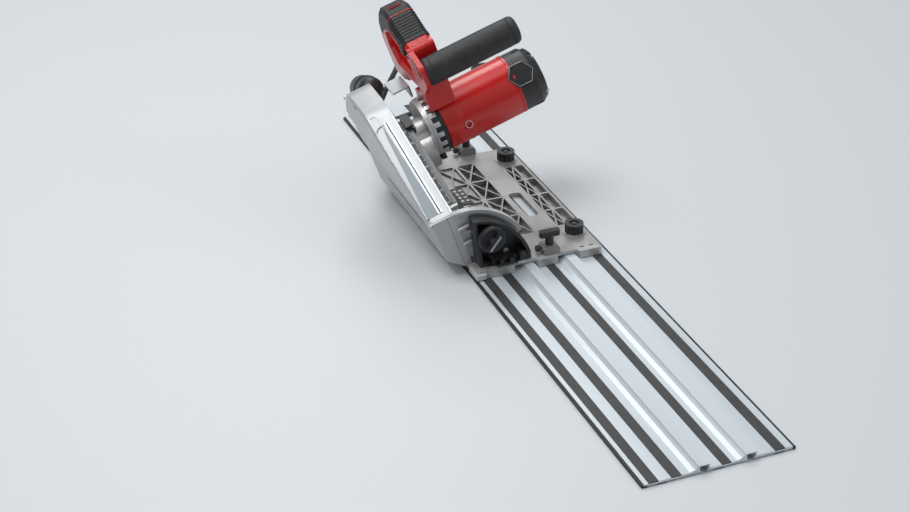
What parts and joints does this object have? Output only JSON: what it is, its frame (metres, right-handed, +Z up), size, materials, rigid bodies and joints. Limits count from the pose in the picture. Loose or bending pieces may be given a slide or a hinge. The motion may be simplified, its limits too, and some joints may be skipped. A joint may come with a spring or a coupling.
{
  "type": "plunge-cut track saw on a guide rail",
  "caption": "Corded plunge saw with enclosed blade, bevel quadrants and two handles, standing on a ribbed guide rail, with its lead coiled.",
  "frame": {"origin": "middle of the guide rail's underside, half way along it", "axes": "+X across the rail towards the motor side, +Y along the rail in the direction from the saw's nose to its rear, +Z up"},
  "size_m": [0.3881, 1.0509, 0.293],
  "materials": {
    "rail_aluminium": "bright anodised",
    "glide_plastic": "satin",
    "edge_rubber": "matt",
    "cast_base": "as cast, painted grey",
    "black_plastic": "satin moulded",
    "grip_rubber": "soft matt overmould",
    "red_plastic": "glossy moulded",
    "guard_paint": "satin grey paint",
    "cast_metal": "as cast",
    "bracket_grey": "satin grey",
    "zinc_steel": "zinc plated",
    "steel": "machined",
    "blade_steel": "ground",
    "iron": "laminated and varnished",
    "brass": "machined",
    "clear_plastic": "satin",
    "cord_rubber": "satin",
    "strap": "woven"
  },
  "bodies": {
    "rail": {"rail_extrusion": "rail_aluminium", "glide_strips": "glide_plastic", "edge_strips": "edge_rubber", "anti_slip_strips": "edge_rubber"},
    "carriage": {"base_plate": "cast_base", "front_bevel_bracket": "black_plastic", "rear_bevel_bracket": "black_plastic", "bevel_studs": "steel", "fence_brackets": "bracket_grey", "cut_indicator": "clear_plastic", "mains_cord": "cord_rubber", "cord_coil": "cord_rubber", "coil_tie": "strap", "mains_plug": "cord_rubber"},
    "bevel_frame": {"guard_outer": "guard_paint", "guard_inner": "guard_paint", "front_quadrant": "guard_paint", "rear_quadrant": "guard_paint", "depth_scale": "black_plastic", "depth_rack": "cast_metal", "dust_port": "black_plastic", "plunge_pin": "steel", "plunge_spring": "steel", "guard_screws": "steel"},
    "saw_head": {"gear_housing": "cast_metal", "motor_housing": "red_plastic", "motor_end_cap": "black_plastic", "stator": "iron", "carbon_brushes": "brass", "arbor_bearings": "steel", "motor_bearings": "steel", "handle_shell_left": "red_plastic", "handle_shell_right": "red_plastic", "handle_overmould": "grip_rubber", "trigger_pin": "steel", "switch_module": "black_plastic", "aux_handle": "grip_rubber", "stop_bracket": "zinc_steel", "cord_boot": "cord_rubber", "housing_screws": "steel"},
    "blade_spindle": {"saw_blade": "blade_steel", "arbor": "steel", "inner_flange": "steel", "outer_flange": "steel", "blade_bolt": "steel", "driven_gear": "steel"},
    "motor_rotor": {"rotor": "iron", "pinion": "steel", "cooling_fan": "black_plastic", "commutator": "brass"},
    "trigger_lever": {"trigger": "black_plastic"},
    "lock_off": {"lock_off_button": "black_plastic"},
    "lock_pin": {"spindle_lock": "black_plastic"},
    "stop_slider": {"depth_stop": "black_plastic"},
    "front_clamp": {"front_bevel_knob": "black_plastic"},
    "rear_clamp": {"rear_bevel_knob": "black_plastic"},
    "front_play_knob": {"front_guide_knob": "black_plastic"},
    "rear_play_knob": {"rear_guide_knob": "black_plastic"},
    "front_fence_clamp": {"front_fence_screw": "black_plastic"},
    "rear_fence_clamp": {"rear_fence_screw": "black_plastic"}
  },
  "joints": [
    {"name": "rail_slide", "type": "slide", "parent": "rail", "child": "carriage", "axis": [0, 1, 0], "range_m": [-0.44, 0.2]},
    {"name": "bevel_tilt", "type": "hinge", "parent": "carriage", "child": "bevel_frame", "pos_m": [-0.096, 0, 0], "axis": [0, -1, 0], "range_deg": [-18, 27]},
    {"name": "plunge", "type": "hinge", "parent": "bevel_frame", "child": "saw_head", "pos_m": [-0.09181, 0.268, 0.05183], "axis": [0.9511, 0, 0.309], "range_deg": [0, 31.4], "stiffness_Nm_per_rad": 4, "springref_deg": -91.67},
    {"name": "blade_spin", "type": "hinge", "parent": "saw_head", "child": "blade_spindle", "pos_m": [-0.12381, 0.167, 0.0856], "axis": [0.9511, 0, 0.309], "continuous": true},
    {"name": "motor_spin", "type": "hinge", "parent": "saw_head", "child": "motor_rotor", "pos_m": [-0.13093, 0.18107, 0.10751], "axis": [0.9511, 0, 0.309], "continuous": true},
    {"name": "trigger_press", "type": "hinge", "parent": "saw_head", "child": "trigger_lever", "pos_m": [-0.09161, 0.188, 0.24537], "axis": [0.9511, 0, 0.309], "range_deg": [0, 12], "stiffness_Nm_per_rad": 0.25, "springref_deg": -14.32},
    {"name": "lock_off_press", "type": "slide", "parent": "saw_head", "child": "lock_off", "axis": [0.9511, 0, 0.309], "range_m": [0, 0.003], "stiffness_N_per_m": 400, "springref_m": -0.003},
    {"name": "spindle_lock_press", "type": "slide", "parent": "saw_head", "child": "lock_pin", "axis": [-0.9511, 0, -0.309], "range_m": [0, 0.0045], "stiffness_N_per_m": 500, "springref_m": -0.003},
    {"name": "depth_stop_slide", "type": "slide", "parent": "bevel_frame", "child": "stop_slider", "axis": [-0.1524, 0.8699, 0.4692], "range_m": [-0.115, 0.005]},
    {"name": "front_bevel_clamp_turn", "type": "hinge", "parent": "carriage", "child": "front_clamp", "pos_m": [-0.07138, -0.03, 0.05799], "axis": [0, 1, 0], "range_deg": [-120, 60]},
    {"name": "rear_bevel_clamp_turn", "type": "hinge", "parent": "carriage", "child": "rear_clamp", "pos_m": [-0.07138, 0.316, 0.05799], "axis": [0, 1, 0], "range_deg": [-120, 60]},
    {"name": "front_play_adjust", "type": "hinge", "parent": "carriage", "child": "front_play_knob", "pos_m": [0.065, 0.02, 0.02], "axis": [0, 0, 1], "range_deg": [-90, 90]},
    {"name": "rear_play_adjust", "type": "hinge", "parent": "carriage", "child": "rear_play_knob", "pos_m": [0.065, 0.251, 0.02], "axis": [0, 0, 1], "range_deg": [-90, 90]},
    {"name": "front_fence_clamp_turn", "type": "hinge", "parent": "carriage", "child": "front_fence_clamp", "pos_m": [0.014, -0.014, 0.03], "axis": [0, 0, 1], "range_deg": [-720, 90]},
    {"name": "rear_fence_clamp_turn", "type": "hinge", "parent": "carriage", "child": "rear_fence_clamp", "pos_m": [0.021, 0.293, 0.03], "axis": [0, 0, 1], "range_deg": [-720, 90]}
  ],
  "couplings": [
    {"joint": "motor_spin", "follows": "blade_spin", "ratio": -4.4}
  ]
}
